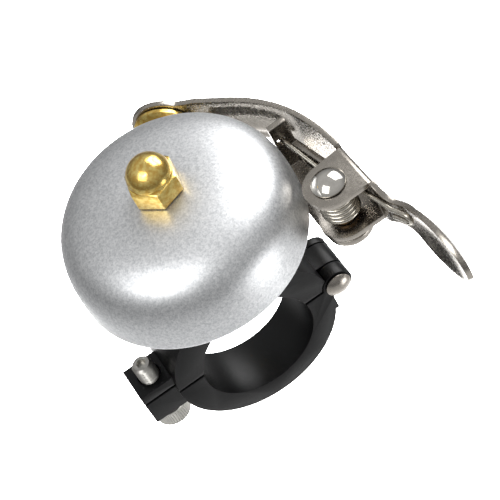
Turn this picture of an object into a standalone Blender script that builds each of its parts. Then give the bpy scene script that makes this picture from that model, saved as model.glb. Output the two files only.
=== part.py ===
"""Bicycle bell with a thumb lever: a domed bell on a hinged handlebar clamp, struck from the side.

Metres, +Z up. The origin is the centre of the handlebar bore. The bar runs along Y, the bell's
axis is Z, the clamp's hinge is on +X and its screw on -X.
"""

import math

import bmesh
import bpy
from mathutils import Matrix, Vector

GAP = 0.0003  # air left between pieces that touch

# Handlebar clamp
BORE_RADIUS = 0.0111
CLAMP_WIDTH = 0.0110
RING_RADIUS = 0.0162
RING_RISE = 0.0012  # the outer circle sits this far above the bore's centre
SPLIT_Z = 0.0021  # the halves part a little above the bore's centre
SPLIT_HALF_GAP = 0.0003
EAR_WIDTH = 0.0073
EAR_END_X = -0.0225
EAR_TOP = 0.0044
EAR_BOTTOM = -0.0039
BOSS_RADIUS = 0.0070
BOSS_TOP = 0.02195

# Clamp hinge
HINGE_X = 0.0177
HINGE_Z = 0.0018
KNUCKLE_RADIUS = 0.0029
KNUCKLE_HALF_LENGTH = 0.0025  # of the upper half's middle knuckle
HINGE_FAR_Y = 0.0042  # the far knuckle is shorter than the near one
PIN_RADIUS = 0.0014
PIN_HEAD_RADIUS = 0.00245
PIN_HEAD_HEIGHT = 0.0010

# Clamp screw, on a vertical axis through both ears
SCREW_X = -0.01885
SCREW_RADIUS = 0.00195
SCREW_TIP = 0.0082
SCREW_HEAD_RADIUS = 0.0035
SCREW_HEAD_HEIGHT = 0.0032
SCREW_HEAD_EDGE = 0.0004
SCREW_WASHER_RADIUS = 0.00365
SCREW_WASHER_HEIGHT = 0.0005
SPOTFACE_RADIUS = 0.0041
EAR_SLOT_HALF = 0.0009  # the lower ear's hole is this much longer each way along X
SOCKET_RADIUS = 0.00144
SOCKET_DEPTH = 0.0014

# Bell and the stack that carries it
RIM_Z = 0.02555
RIM_RADIUS = 0.0186
BELL_RADIUS = 0.0209
BELL_HEIGHT = 0.01765
BELL_WALL = 0.0015
WIDEST_PART = 0.12  # height of the widest ring, as a part of the bell's height
SIDE_POWER = 3.4
TOP_POWER = 3.65
BOLT_RADIUS = 0.0025
BOLT_HOLE_RADIUS = 0.0028
BOLT_TIP = 0.0478
BOLT_BASE = 0.0114
COUNTERSINK_RADIUS = 0.0046
LOCK_WASHER_HEIGHT = 0.0009
LOCK_NUT_HEIGHT = 0.0035
SPACER_RADIUS = 0.0040
SEAT_WASHER_RADIUS = 0.0055
SEAT_WASHER_HEIGHT = 0.0009
NUT_ACROSS_CORNERS_RADIUS = 0.00462
NUT_HEX_HEIGHT = 0.0039
NUT_CAP_RADIUS = 0.0038
NUT_CAP_CENTRE = 0.0040
NUT_TURN = math.radians(-12.5)

# Bracket
BRACKET_BOTTOM = 0.0222
BRACKET_THICKNESS = 0.0013
BRACKET_HUB_RADIUS = 0.0080
BRACKET_LOBE_RADIUS = 0.0042
FLANGE_NEAR = (0.0269, -0.0036)
FLANGE_FAR = (0.02465, 0.0059)
FLANGE_TOP = 0.0283
TAB_INNER_X = 0.0212
TAB_THICKNESS = 0.0012
TAB_TOP = 0.0342
SPRING_HOLE = (0.0224, 0.0302)  # X and Z of the hole in the tab
SPRING_HOLE_RADIUS = 0.0009

# Lever pivot
PIVOT = (0.0234, -0.0124)
PIVOT_RIVET_RADIUS = 0.0015
PIVOT_HOLE_RADIUS = 0.0018
RIVET_HEAD_RADIUS = 0.0030
RIVET_HEAD_HEIGHT = 0.0018
RIVET_TAIL_RADIUS = 0.0024
RIVET_TAIL_HEIGHT = 0.0007
BUSH_RADIUS = 0.0021
PIVOT_WASHER_RADIUS = 0.0037

# Lever
STRIP = 0.0010  # sheet thickness
LEVER_MID_Z = 0.0295
LEVER_HALF_HEIGHT = 0.00515
EAR_LOBE_RADIUS = 0.0046
EAR_ROOT_X = 0.0288
EAR_FAR_Y = -0.0069
EAR_NEAR_Y = -0.0169
WEB_START = (0.0291, -0.0070)  # outer face where the arm leaves the clevis
WEB_HEADING = math.radians(1.9)
BOW_HEADING = math.radians(15.3)
ARM_HEADING = math.radians(48.3)
STRIKER_HEADING = math.radians(57)
NECK_HEADING = math.radians(27)
TIP_HEADING = math.radians(-14)
BOW_LENGTH = 0.0100
SWEEP_LENGTH = 0.0160
ARM_LENGTH = 0.0057
DISC_RADIUS = 0.0061
DISC_BEND_LENGTH = 0.0012
WEB_LENGTH = 0.0100
NECK_LENGTH = 0.0042
NECK_HALF_HEIGHT = 0.0030
PADDLE_LENGTH = 0.0194
PADDLE_HALF_HEIGHT = 0.0061
PADDLE_FLARE_LENGTH = 0.0095
PADDLE_TIP_LENGTH = 0.0085

# Striker
STRIKER_RADIUS = 0.0056
STRIKER_HEIGHT = 0.0022
STRIKER_SHANK_RADIUS = 0.0012
STRIKER_HOLE_RADIUS = 0.0015
STRIKER_RIVET_RADIUS = 0.0021
STRIKER_RIVET_HEIGHT = 0.0006

# Return spring
WIRE_RADIUS = 0.00045
COIL_RADIUS = 0.0030
COIL_TURNS = 5
COIL_PITCH = 0.0010
COIL_TOP_Z = 0.0326
FOOT_Z = 0.0308  # middle of the hairpin that presses on the lever
FOOT_HALF_HEIGHT = 0.0010

for leftover in list(bpy.data.objects):
    bpy.data.objects.remove(leftover, do_unlink=True)

pieces = bpy.data.collections.new("bicycle_bell")
cutters = bpy.data.collections.new("cutters")
cutters.hide_render = True
bpy.context.scene.collection.children.link(pieces)
bpy.context.scene.collection.children.link(cutters)


def material(name, colour, roughness, metallic):
    made = bpy.data.materials.new(name)
    made.use_nodes = True
    shader = made.node_tree.nodes["Principled BSDF"]
    shader.inputs["Base Color"].default_value = (*colour, 1.0)
    shader.inputs["Roughness"].default_value = roughness
    shader.inputs["Metallic"].default_value = metallic
    return made


BLACK = material("black_anodised_aluminium", (0.02, 0.02, 0.022), 0.42, 0.6)
BLASTED = material("blasted_aluminium", (0.62, 0.63, 0.64), 0.45, 1.0)
BRASS = material("polished_brass", (0.80, 0.58, 0.22), 0.25, 1.0)
NICKEL = material("nickel_plated_steel", (0.50, 0.48, 0.44), 0.35, 1.0)
ZINC = material("zinc_plated_steel", (0.66, 0.66, 0.67), 0.3, 1.0)
SPRING_STEEL = material("spring_steel", (0.58, 0.57, 0.54), 0.28, 1.0)
NYLON = material("white_nylon", (0.80, 0.79, 0.74), 0.5, 0.0)


def take(obj, collection):
    """Puts an object in one collection only."""
    for other in list(obj.users_collection):
        other.objects.unlink(obj)
    collection.objects.link(obj)
    return obj


def piece(obj, name, surface):
    """Makes an object one of the bell's pieces, shaded smooth up to its hard edges."""
    take(obj, pieces)
    obj.name = name
    obj.data.name = name
    obj.data.materials.clear()
    obj.data.materials.append(surface)
    if obj.data.polygons:
        obj.data.shade_smooth()
        obj.data.set_sharp_from_angle(angle=math.radians(35))
    return obj


def tool(obj):
    """Makes an object a helper that is cut from a piece or joined to it."""
    take(obj, cutters)
    obj.hide_render = True
    obj.display_type = "WIRE"
    return obj


def combine(obj, other, operation):
    step = obj.modifiers.new(operation.title(), "BOOLEAN")
    step.operation = operation
    step.object = tool(other)
    return obj


def cut(obj, *others):
    for other in others:
        combine(obj, other, "DIFFERENCE")
    return obj


def join(obj, *others):
    for other in others:
        combine(obj, other, "UNION")
    return obj


def box(low, high):
    bpy.ops.mesh.primitive_cube_add(size=1)
    obj = bpy.context.active_object
    low = Vector(low)
    high = Vector(high)
    obj.data.transform(Matrix.Diagonal((*(high - low), 1)))
    obj.location = (low + high) / 2
    return obj


def rod(radius, bottom, top, x=0.0, y=0.0, sides=32):
    """Upright cylinder or prism between two heights."""
    bpy.ops.mesh.primitive_cylinder_add(
        vertices=sides, radius=radius, depth=top - bottom, location=(x, y, (bottom + top) / 2)
    )
    return bpy.context.active_object


def bar(radius, near, far, x=0.0, z=0.0, sides=32):
    """Cylinder along Y."""
    bpy.ops.mesh.primitive_cylinder_add(
        vertices=sides,
        radius=radius,
        depth=far - near,
        location=(x, (near + far) / 2, z),
        rotation=(math.pi / 2, 0, 0),
    )
    return bpy.context.active_object


def turned(profile, steps=32, ring=False):
    """Piece turned about its own Z from (radius, height) points, outer side from top to bottom."""
    mesh = bpy.data.meshes.new("turned")
    edges = [(i, i + 1) for i in range(len(profile) - 1)]
    if ring:
        edges.append((len(profile) - 1, 0))
    mesh.from_pydata([(radius, 0, height) for radius, height in profile], edges, [])
    obj = bpy.data.objects.new("turned", mesh)
    bpy.context.scene.collection.objects.link(obj)
    spin = obj.modifiers.new("Screw", "SCREW")
    spin.steps = steps
    spin.render_steps = steps
    spin.use_merge_vertices = True
    spin.merge_threshold = 0.00001
    return obj


def washer(outer, inner, bottom, top, x=0.0, y=0.0):
    profile = [(outer, top), (outer, bottom), (inner, bottom), (inner, top)]
    obj = turned(profile, ring=True)
    obj.location = (x, y, 0)
    return obj


def dome_profile(radius, base, height, steps=5):
    """Outer points of a low domed head, from its crown to its edge."""
    points = []
    for step in range(steps + 1):
        angle = math.pi / 2 * (1 - step / steps)
        points.append((radius * math.cos(angle), base + height * math.sin(angle)))
    return points


def hull(*discs):
    """Corners of the convex outline drawn round discs given as (x, y, radius)."""
    points = []
    for x, y, radius in discs:
        for step in range(28 if radius else 1):
            angle = 2 * math.pi * step / 28
            points.append((x + radius * math.cos(angle), y + radius * math.sin(angle)))
    points.sort()
    outline = []
    for run in (points, points[::-1]):
        side = []
        for point in run:
            while len(side) > 1 and turn(side[-2], side[-1], point) <= 0:
                side.pop()
            side.append(point)
        outline += side[:-1]
    return outline


def turn(a, b, c):
    return (b[0] - a[0]) * (c[1] - a[1]) - (b[1] - a[1]) * (c[0] - a[0])


def as_mesh(obj):
    """Replaces a curve object with the mesh it draws."""
    bpy.context.scene.collection.objects.link(obj)
    graph = bpy.context.evaluated_depsgraph_get()
    mesh = bpy.data.meshes.new_from_object(obj.evaluated_get(graph))
    shape = bmesh.new()
    shape.from_mesh(mesh)
    bmesh.ops.remove_doubles(shape, verts=shape.verts, dist=0.000001)
    shape.to_mesh(mesh)
    shape.free()
    made = bpy.data.objects.new("plate", mesh)
    made.matrix_world = obj.matrix_world
    bpy.context.scene.collection.objects.link(made)
    bpy.data.objects.remove(obj)
    return made


def plate(outline, bottom, top):
    """Flat piece of sheet between two heights, cut to an outline of (x, y) corners."""
    curve = bpy.data.curves.new("outline", "CURVE")
    curve.dimensions = "2D"
    curve.fill_mode = "BOTH"
    curve.extrude = (top - bottom) / 2
    spline = curve.splines.new("POLY")
    spline.points.add(len(outline) - 1)
    for point, (x, y) in zip(spline.points, outline):
        point.co = (x, y, 0, 1)
    spline.use_cyclic_u = True
    obj = bpy.data.objects.new("outline", curve)
    obj.location.z = (bottom + top) / 2
    bpy.context.view_layer.update()
    made = as_mesh(obj)
    made.location.z = (bottom + top) / 2
    return made


# Clamp


def half_ring(low_z, high_z):
    """The part of the clamp ring between two heights, with the handlebar bore through it."""
    half = CLAMP_WIDTH / 2
    obj = bar(RING_RADIUS, -half, half, z=RING_RISE, sides=64)
    keep = box((-0.03, -0.01, low_z), (0.03, 0.01, high_z))
    combine(obj, keep, "INTERSECT")
    return cut(obj, bar(BORE_RADIUS, -0.01, 0.01, sides=64))


def knuckle_relief(near, far):
    """Room for a neighbour's knuckle to turn in."""
    return bar(KNUCKLE_RADIUS + GAP, near, far, x=HINGE_X, z=HINGE_Z)


def clamp_upper_half():
    half = CLAMP_WIDTH / 2
    ear = EAR_WIDTH / 2
    knuckle = KNUCKLE_HALF_LENGTH
    split = SPLIT_Z + SPLIT_HALF_GAP
    obj = half_ring(split, 0.03)
    top = HINGE_Z + KNUCKLE_RADIUS
    cut(obj, knuckle_relief(-half - GAP, -knuckle), knuckle_relief(knuckle, half + GAP))
    join(
        obj,
        box((EAR_END_X, -ear, split), (-0.0135, ear, EAR_TOP)),
        rod(BOSS_RADIUS, 0.0140, BOSS_TOP, sides=40),
        box((0.0135, -knuckle, HINGE_Z), (HINGE_X, knuckle, top)),
        bar(KNUCKLE_RADIUS, -knuckle, knuckle, x=HINGE_X, z=HINGE_Z),
    )
    cut(
        obj,
        box((0.0160, -half, -0.01), (HINGE_X, half, -SPLIT_HALF_GAP)),
        bar(PIN_RADIUS + GAP, -0.01, 0.01, x=HINGE_X, z=HINGE_Z, sides=24),
        rod(SCREW_RADIUS + GAP, -0.01, 0.01, x=SCREW_X, sides=24),
        rod(BOLT_HOLE_RADIUS, 0.005, 0.03, sides=24),
        countersink(COUNTERSINK_RADIUS + GAP, BOLT_BASE - 0.0001, BOLT_HOLE_RADIUS),
    )
    return piece(obj, "clamp_upper_half", BLACK)


def countersink(radius, base, neck):
    """Cone that narrows upwards at 45 degrees from a base at the bore."""
    profile = [(0, base + radius - neck), (neck, base + radius - neck), (radius, base)]
    return turned([*profile, (radius, base - 0.002), (0, base - 0.002)])


def clamp_lower_half():
    half = CLAMP_WIDTH / 2
    ear = EAR_WIDTH / 2
    inner = KNUCKLE_HALF_LENGTH + GAP
    split = SPLIT_Z - SPLIT_HALF_GAP
    obj = half_ring(-0.03, split)
    cut(obj, knuckle_relief(-KNUCKLE_HALF_LENGTH - GAP, KNUCKLE_HALF_LENGTH + GAP))
    join(obj, box((EAR_END_X, -ear, EAR_BOTTOM), (-0.0135, ear, split)))
    for near, far in ((-half, -inner), (inner, HINGE_FAR_Y)):
        join(
            obj,
            bar(KNUCKLE_RADIUS, near, far, x=HINGE_X, z=HINGE_Z),
            knuckle_web(near, far),
        )
    slot = rod(SCREW_RADIUS + GAP, -0.01, 0.01, x=SCREW_X - EAR_SLOT_HALF, sides=24)
    slot_end = rod(SCREW_RADIUS + GAP, -0.01, 0.01, x=SCREW_X + EAR_SLOT_HALF, sides=24)
    side = SCREW_RADIUS + GAP
    middle = box((SCREW_X - EAR_SLOT_HALF, -side, -0.01), (SCREW_X + EAR_SLOT_HALF, side, 0.01))
    pin_hole = bar(PIN_RADIUS + GAP, -0.01, 0.01, x=HINGE_X, z=HINGE_Z, sides=24)
    spotface = rod(SPOTFACE_RADIUS, -0.02, EAR_BOTTOM, x=SCREW_X)
    cut(obj, slot, slot_end, middle, pin_hole, spotface)
    return piece(obj, "clamp_lower_half", BLACK)


def knuckle_web(near, far):
    """Web that ties an outer knuckle to the ring below it."""
    low_z = HINGE_Z - KNUCKLE_RADIUS - 0.003
    return box((0.0150, near, low_z), (0.0160, far, HINGE_Z - 0.0005))


def hinge_pin():
    half = (CLAMP_WIDTH / 2 + HINGE_FAR_Y) / 2 + GAP
    crown = dome_profile(PIN_HEAD_RADIUS, half, PIN_HEAD_HEIGHT)
    peened = -half - PIN_HEAD_HEIGHT / 2
    profile = [*crown, (PIN_RADIUS, half), (PIN_RADIUS, peened + GAP), (PIN_RADIUS - GAP, peened)]
    profile.append((0, peened))
    obj = turned(profile, steps=24)
    obj.location = (HINGE_X, (HINGE_FAR_Y - CLAMP_WIDTH / 2) / 2, HINGE_Z)
    obj.rotation_euler = (math.pi / 2, 0, 0)
    return piece(obj, "hinge_pin", ZINC)


def screw_washer():
    top = EAR_BOTTOM - GAP
    obj = washer(SCREW_WASHER_RADIUS, SCREW_RADIUS + GAP, top - SCREW_WASHER_HEIGHT, top, x=SCREW_X)
    return piece(obj, "screw_washer", ZINC)


def clamp_screw():
    top = EAR_BOTTOM - GAP - SCREW_WASHER_HEIGHT - GAP
    bottom = top - SCREW_HEAD_HEIGHT
    profile = [(0, SCREW_TIP), (SCREW_RADIUS - 0.0004, SCREW_TIP), (SCREW_RADIUS, SCREW_TIP - 0.0005)]
    profile += [(SCREW_RADIUS, top), (SCREW_HEAD_RADIUS, top)]
    profile += [(SCREW_HEAD_RADIUS, bottom + SCREW_HEAD_EDGE)]
    profile += [(SCREW_HEAD_RADIUS - SCREW_HEAD_EDGE, bottom), (0, bottom)]
    obj = turned(profile, steps=28)
    obj.location = (SCREW_X, 0, 0)
    socket = rod(SOCKET_RADIUS, bottom - 0.001, bottom + SOCKET_DEPTH, x=SCREW_X, sides=6)
    return piece(cut(obj, socket), "clamp_screw", ZINC)


# Bell stack


def centre_bolt():
    """Countersunk bolt pushed up from inside the bore. It carries the whole bell."""
    base = BOLT_BASE
    neck = base + COUNTERSINK_RADIUS - BOLT_RADIUS
    profile = [(0, BOLT_TIP), (BOLT_RADIUS - 0.0004, BOLT_TIP), (BOLT_RADIUS, BOLT_TIP - 0.0005)]
    profile += [(BOLT_RADIUS, neck), (COUNTERSINK_RADIUS, base), (0, base)]
    obj = turned(profile, steps=24)
    socket = rod(0.0017, base - 0.001, base + 0.0016, sides=6)
    return piece(cut(obj, socket), "centre_bolt", ZINC)


def hex_nut(bottom, top, name):
    obj = rod(NUT_ACROSS_CORNERS_RADIUS, bottom, top, sides=6)
    return piece(cut(obj, rod(BOLT_HOLE_RADIUS, 0.005, 0.06, sides=24)), name, ZINC)


def bell_outline(inset, steps=12):
    """Bell section from its crown to its rim, moved in from the outer skin by an inset."""
    height = BELL_HEIGHT - inset
    radius = BELL_RADIUS - inset
    widest = WIDEST_PART * BELL_HEIGHT
    points = []
    for step in range(steps + 1):
        angle = math.pi / 2 * (1 - step / steps)
        out = radius * max(math.cos(angle), 0) ** (2 / SIDE_POWER)
        up = (height - widest) * math.sin(angle) ** (2 / TOP_POWER)
        points.append((out, RIM_Z + widest + up))
    for step in (1, 2, 3):
        side = 1 - step / 3
        in_by = (BELL_RADIUS - RIM_RADIUS) * (1 - math.sin(side * math.pi / 2))
        points.append((radius - in_by, RIM_Z + widest * side))
    return points


def bell_dome():
    outer = bell_outline(0)
    inner = bell_outline(BELL_WALL)
    top = outer[0][1]
    ceiling = inner[0][1]
    outer[0] = (BOLT_HOLE_RADIUS, top)
    inner[0] = (BOLT_HOLE_RADIUS, ceiling)
    obj = turned([*outer, *reversed(inner)], steps=56, ring=True)
    return piece(obj, "bell_dome", BLASTED), top, ceiling


def acorn_nut(base):
    centre = base + NUT_CAP_CENTRE
    neck = base + NUT_HEX_HEIGHT
    profile = []
    for step in range(9):
        angle = math.pi / 2 - math.radians(13) * step
        radius = NUT_CAP_RADIUS * math.cos(angle)
        profile.append((radius, centre + NUT_CAP_RADIUS * math.sin(angle)))
    profile += [(profile[-1][0], neck - 0.0005), (0, neck - 0.0005)]
    obj = turned(profile, steps=32)
    hexagon = rod(NUT_ACROSS_CORNERS_RADIUS, base, neck, sides=6)
    hexagon.rotation_euler.z = NUT_TURN
    join(obj, hexagon)
    cut(obj, rod(BOLT_HOLE_RADIUS, base - 0.001, BOLT_TIP + GAP, sides=24))
    return piece(obj, "acorn_nut", BRASS)


# Bracket


def mounting_bracket():
    bottom = BRACKET_BOTTOM
    top = bottom + BRACKET_THICKNESS
    inner = TAB_INNER_X
    hub = (0, 0, BRACKET_HUB_RADIUS)
    lobe = (*PIVOT, BRACKET_LOBE_RADIUS)
    edge = (PIVOT[0] - BRACKET_LOBE_RADIUS, FLANGE_NEAR[1], 0)
    obj = plate(hull(hub, edge, (*FLANGE_NEAR, 0), (*FLANGE_FAR, 0), (inner, FLANGE_FAR[1], 0)), bottom, top)
    arm = hull(lobe, (*edge[:2], 0), (edge[0], 0, 0), (*FLANGE_NEAR, 0), (FLANGE_NEAR[0] - 0.001, 0, 0))
    near = Vector(FLANGE_NEAR)
    far = Vector(FLANGE_FAR)
    inward = Vector((far.y - near.y, near.x - far.x)).normalized() * -TAB_THICKNESS
    corners = [(*corner, 0) for corner in (near, far, near + inward, far + inward)]
    join(
        obj,
        plate(hull(*[(x, y, 0) for x, y, _ in corners]), bottom + 0.0002, FLANGE_TOP),
        plate(arm, bottom, top),
        box((inner, far.y - TAB_THICKNESS, bottom + 0.0002), (far.x, far.y, TAB_TOP)),
    )
    cut(
        obj,
        rod(BOLT_HOLE_RADIUS, 0.015, 0.03, sides=24),
        rod(PIVOT_HOLE_RADIUS, 0.015, 0.03, *PIVOT, sides=24),
        bar(SPRING_HOLE_RADIUS, 0.003, 0.008, x=SPRING_HOLE[0], z=SPRING_HOLE[1], sides=16),
    )
    return piece(obj, "mounting_bracket", NICKEL)


# Lever


def walk(runs, way):
    """(distance, x, y, heading) along the lever's outer face, from the clevis to one end.

    Each run is a length, the headings at its two ends and a number of steps. A heading is
    turned from -Y towards +X, so the strip's outward side lies at (cos heading, sin heading).
    Distances are negative towards the striker, where way is -1.
    """
    distance = 0.0
    x, y = WEB_START
    places = []
    for length, start, end, steps in runs:
        stride = way * length / steps
        for step in range(steps):
            middle = start + (end - start) * (step + 0.5) / steps
            distance += stride
            x += stride * math.sin(middle)
            y -= stride * math.cos(middle)
            places.append((distance, x, y, start + (end - start) * (step + 1) / steps))
    return places


def lever_path():
    """(distance, x, y, heading) along the lever's outer face, from striker end to thumb tip."""
    to_striker = [
        (BOW_LENGTH, WEB_HEADING, BOW_HEADING, 7),
        (SWEEP_LENGTH, BOW_HEADING, ARM_HEADING, 12),
        (ARM_LENGTH, ARM_HEADING, ARM_HEADING, 2),
        (DISC_BEND_LENGTH, ARM_HEADING, STRIKER_HEADING, 2),
        (2 * DISC_RADIUS, STRIKER_HEADING, STRIKER_HEADING, 16),
    ]
    to_tip = [
        (WEB_LENGTH, WEB_HEADING, WEB_HEADING, 2),
        (NECK_LENGTH, WEB_HEADING, NECK_HEADING, 4),
        (PADDLE_LENGTH, NECK_HEADING, TIP_HEADING, 16),
    ]
    path = walk(to_striker, -1)[::-1] + [(0, *WEB_START, WEB_HEADING)] + walk(to_tip, 1)
    first = path[0][0]
    return [(distance - first, *place) for distance, *place in path]


def on_lever(distance):
    """Plan position and heading of the lever's outer face at a distance from its striker end."""
    _, x, y, heading = min(lever_path(), key=lambda sample: abs(sample[0] - distance))
    return x, y, heading


def eased(start, end, part):
    """A value on the way from start to end, easing in and out."""
    part = min(max(part, 0), 1)
    return start + (end - start) * part * part * (3 - 2 * part)


def strip_half_height(distance, whole):
    """Half the strip's height: a disc at the striker, a narrow neck, then a spoon for the thumb."""
    from_disc = distance - DISC_RADIUS
    disc = math.sqrt(max(DISC_RADIUS**2 - from_disc**2, 0.0008**2))
    if from_disc < 0:
        return disc
    to_tip = whole - distance
    into_neck = (PADDLE_LENGTH + NECK_LENGTH - to_tip) / NECK_LENGTH
    into_flare = (PADDLE_LENGTH - to_tip) / PADDLE_FLARE_LENGTH
    height = eased(LEVER_HALF_HEIGHT, NECK_HALF_HEIGHT, into_neck)
    height = eased(height, PADDLE_HALF_HEIGHT, into_flare)
    past = max(1 - to_tip / PADDLE_TIP_LENGTH, 0)
    height *= math.sqrt(max(1 - past * past, 0.03))
    return max(height, disc)


def lever_strip():
    """The bent strip, as an open sheet on its outer face thickened towards the bell."""
    path = lever_path()
    whole = path[-1][0]
    mesh = bpy.data.meshes.new("strip")
    corners = []
    for distance, x, y, _ in path:
        half = strip_half_height(distance, whole)
        corners += [(x, y, LEVER_MID_Z - half), (x, y, LEVER_MID_Z + half)]
    sides = [(2 * i, 2 * i + 2, 2 * i + 3, 2 * i + 1) for i in range(len(path) - 1)]
    mesh.from_pydata(corners, [], [side[::-1] for side in sides])
    obj = bpy.data.objects.new("strip", mesh)
    bpy.context.scene.collection.objects.link(obj)
    thicken = obj.modifiers.new("Solidify", "SOLIDIFY")
    thicken.thickness = STRIP
    thicken.offset = -1
    return obj


def striker_frame():
    """Places the striker's own Z on the line from the lever's disc towards the bell."""
    x, y, heading = on_lever(DISC_RADIUS)
    turn_z = Matrix.Rotation(heading + math.pi, 4, "Z")
    tip_over = Matrix.Rotation(math.pi / 2, 4, "Y")
    return Matrix.Translation((x, y, LEVER_MID_Z)) @ turn_z @ tip_over


def striker_lever():
    obj = lever_strip()
    low = LEVER_MID_Z - LEVER_HALF_HEIGHT
    high = LEVER_MID_Z + LEVER_HALF_HEIGHT
    ear = hull((*PIVOT, EAR_LOBE_RADIUS), (EAR_ROOT_X, EAR_FAR_Y, 0), (EAR_ROOT_X, EAR_NEAR_Y, 0))
    join(obj, plate(ear, low, low + STRIP), plate(ear, high - STRIP, high))
    rivet_hole = rod(STRIKER_HOLE_RADIUS, -0.003, 0.003, sides=24)
    rivet_hole.matrix_world = striker_frame()
    cut(obj, rod(PIVOT_HOLE_RADIUS, 0.015, 0.04, *PIVOT, sides=24), rivet_hole)
    return piece(obj, "striker_lever", NICKEL)


def striker_button():
    """Brass striker, riveted through the lever's disc. Its own Z points at the bell."""
    back = STRIP + GAP
    profile = dome_profile(STRIKER_RADIUS, back + 0.0008, STRIKER_HEIGHT - 0.0008, steps=7)
    profile += [(STRIKER_RADIUS, back), (STRIKER_SHANK_RADIUS, back), (STRIKER_SHANK_RADIUS, -GAP)]
    profile += [(STRIKER_RIVET_RADIUS, -GAP)]
    profile += [(STRIKER_RIVET_RADIUS * 0.6, -GAP - STRIKER_RIVET_HEIGHT)]
    profile += [(0, -GAP - STRIKER_RIVET_HEIGHT)]
    obj = turned(profile)
    obj.matrix_world = striker_frame()
    return piece(obj, "striker_button", BRASS)


def pivot_washer():
    low = BRACKET_BOTTOM + BRACKET_THICKNESS + 0.00025
    high = LEVER_MID_Z - LEVER_HALF_HEIGHT - 0.00025
    obj = washer(PIVOT_WASHER_RADIUS, PIVOT_HOLE_RADIUS, low, high, *PIVOT)
    return piece(obj, "pivot_washer", NYLON)


def pivot_bush():
    low = LEVER_MID_Z - LEVER_HALF_HEIGHT + STRIP + GAP
    high = LEVER_MID_Z + LEVER_HALF_HEIGHT - STRIP - GAP
    obj = washer(BUSH_RADIUS, PIVOT_HOLE_RADIUS, low, high, *PIVOT)
    return piece(obj, "pivot_bush", BRASS)


def pivot_rivet():
    seat = LEVER_MID_Z + LEVER_HALF_HEIGHT + GAP
    under = BRACKET_BOTTOM - GAP
    profile = dome_profile(RIVET_HEAD_RADIUS, seat, RIVET_HEAD_HEIGHT, steps=6)
    profile += [(PIVOT_RIVET_RADIUS, seat), (PIVOT_RIVET_RADIUS, under)]
    profile += [(RIVET_TAIL_RADIUS, under), (RIVET_TAIL_RADIUS * 0.7, under - RIVET_TAIL_HEIGHT)]
    profile += [(0, under - RIVET_TAIL_HEIGHT)]
    obj = turned(profile, steps=28)
    obj.location = (*PIVOT, 0)
    return piece(obj, "pivot_rivet", NICKEL)


def behind_lever(past_neck, z):
    """Where a wire lies against the lever's inner face, at a distance past the end of the neck."""
    x, y, heading = on_lever(lever_path()[-1][0] - PADDLE_LENGTH + past_neck)
    inset = STRIP + WIRE_RADIUS + GAP
    return Vector((x - inset * math.cos(heading), y - inset * math.sin(heading), z))


def tangent_angle(place):
    """Angle on the coil where a straight wire from a place meets the side away from the bell."""
    across = Vector((place.x - PIVOT[0], place.y - PIVOT[1]))
    towards = math.atan2(across.y, across.x)
    lean = math.acos(COIL_RADIUS / across.length)
    return towards - lean if towards > 0 else towards + lean


def return_spring():
    """Torsion spring round the bush: one leg through the bracket's tab, one behind the lever."""
    anchor = Vector((SPRING_HOLE[0], FLANGE_FAR[1] + 0.0006, SPRING_HOLE[1]))
    high = FOOT_Z + FOOT_HALF_HEIGHT
    low = FOOT_Z - FOOT_HALF_HEIGHT
    foot = [behind_lever(past, high) for past in (0, 0.0014, 0.0028)]
    foot += [behind_lever(0.0040, FOOT_Z)]
    foot += [behind_lever(past, low) for past in (0.0028, 0.0014, 0)]
    first = tangent_angle(anchor)
    last = tangent_angle(foot[0]) - 2 * math.pi * COIL_TURNS
    steps = COIL_TURNS * 16
    coil = []
    for step in range(steps + 1):
        angle = first + (last - first) * step / steps
        x = PIVOT[0] + COIL_RADIUS * math.cos(angle)
        y = PIVOT[1] + COIL_RADIUS * math.sin(angle)
        coil.append(Vector((x, y, COIL_TOP_Z - COIL_PITCH * COIL_TURNS * (1 - step / steps))))
    curve = bpy.data.curves.new("return_spring", "CURVE")
    curve.dimensions = "3D"
    curve.bevel_depth = WIRE_RADIUS
    curve.bevel_resolution = 2
    curve.use_fill_caps = True
    spline = curve.splines.new("POLY")
    route = [anchor, coil[0].lerp(anchor, 0.5), *coil, *foot]
    spline.points.add(len(route) - 1)
    for point, place in zip(spline.points, route):
        point.co = (*place, 1)
    obj = bpy.data.objects.new("return_spring", curve)
    pieces.objects.link(obj)
    curve.materials.append(SPRING_STEEL)
    return obj


clamp_upper_half()
clamp_lower_half()
hinge_pin()
screw_washer()
clamp_screw()
centre_bolt()
mounting_bracket()
_, bell_top, bell_ceiling = bell_dome()
stack = BRACKET_BOTTOM + BRACKET_THICKNESS + GAP
lock_washer_top = stack + LOCK_WASHER_HEIGHT
piece(washer(0.0050, BOLT_HOLE_RADIUS, stack, lock_washer_top), "lock_washer", ZINC)
lock_nut_top = lock_washer_top + GAP + LOCK_NUT_HEIGHT
hex_nut(lock_washer_top + GAP, lock_nut_top, "stud_lock_nut")
seat_top = bell_ceiling - GAP
seat_bottom = seat_top - SEAT_WASHER_HEIGHT
spacer = washer(SPACER_RADIUS, BOLT_HOLE_RADIUS, lock_nut_top + GAP, seat_bottom - GAP)
piece(spacer, "bell_spacer", NICKEL)
seat = washer(SEAT_WASHER_RADIUS, BOLT_HOLE_RADIUS, seat_bottom, seat_top)
piece(seat, "bell_seat_washer", NYLON)
acorn_nut(bell_top + GAP)
striker_lever()
striker_button()
pivot_washer()
pivot_bush()
pivot_rivet()
return_spring()
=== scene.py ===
import math

import bpy
from mathutils import Matrix, Vector


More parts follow.
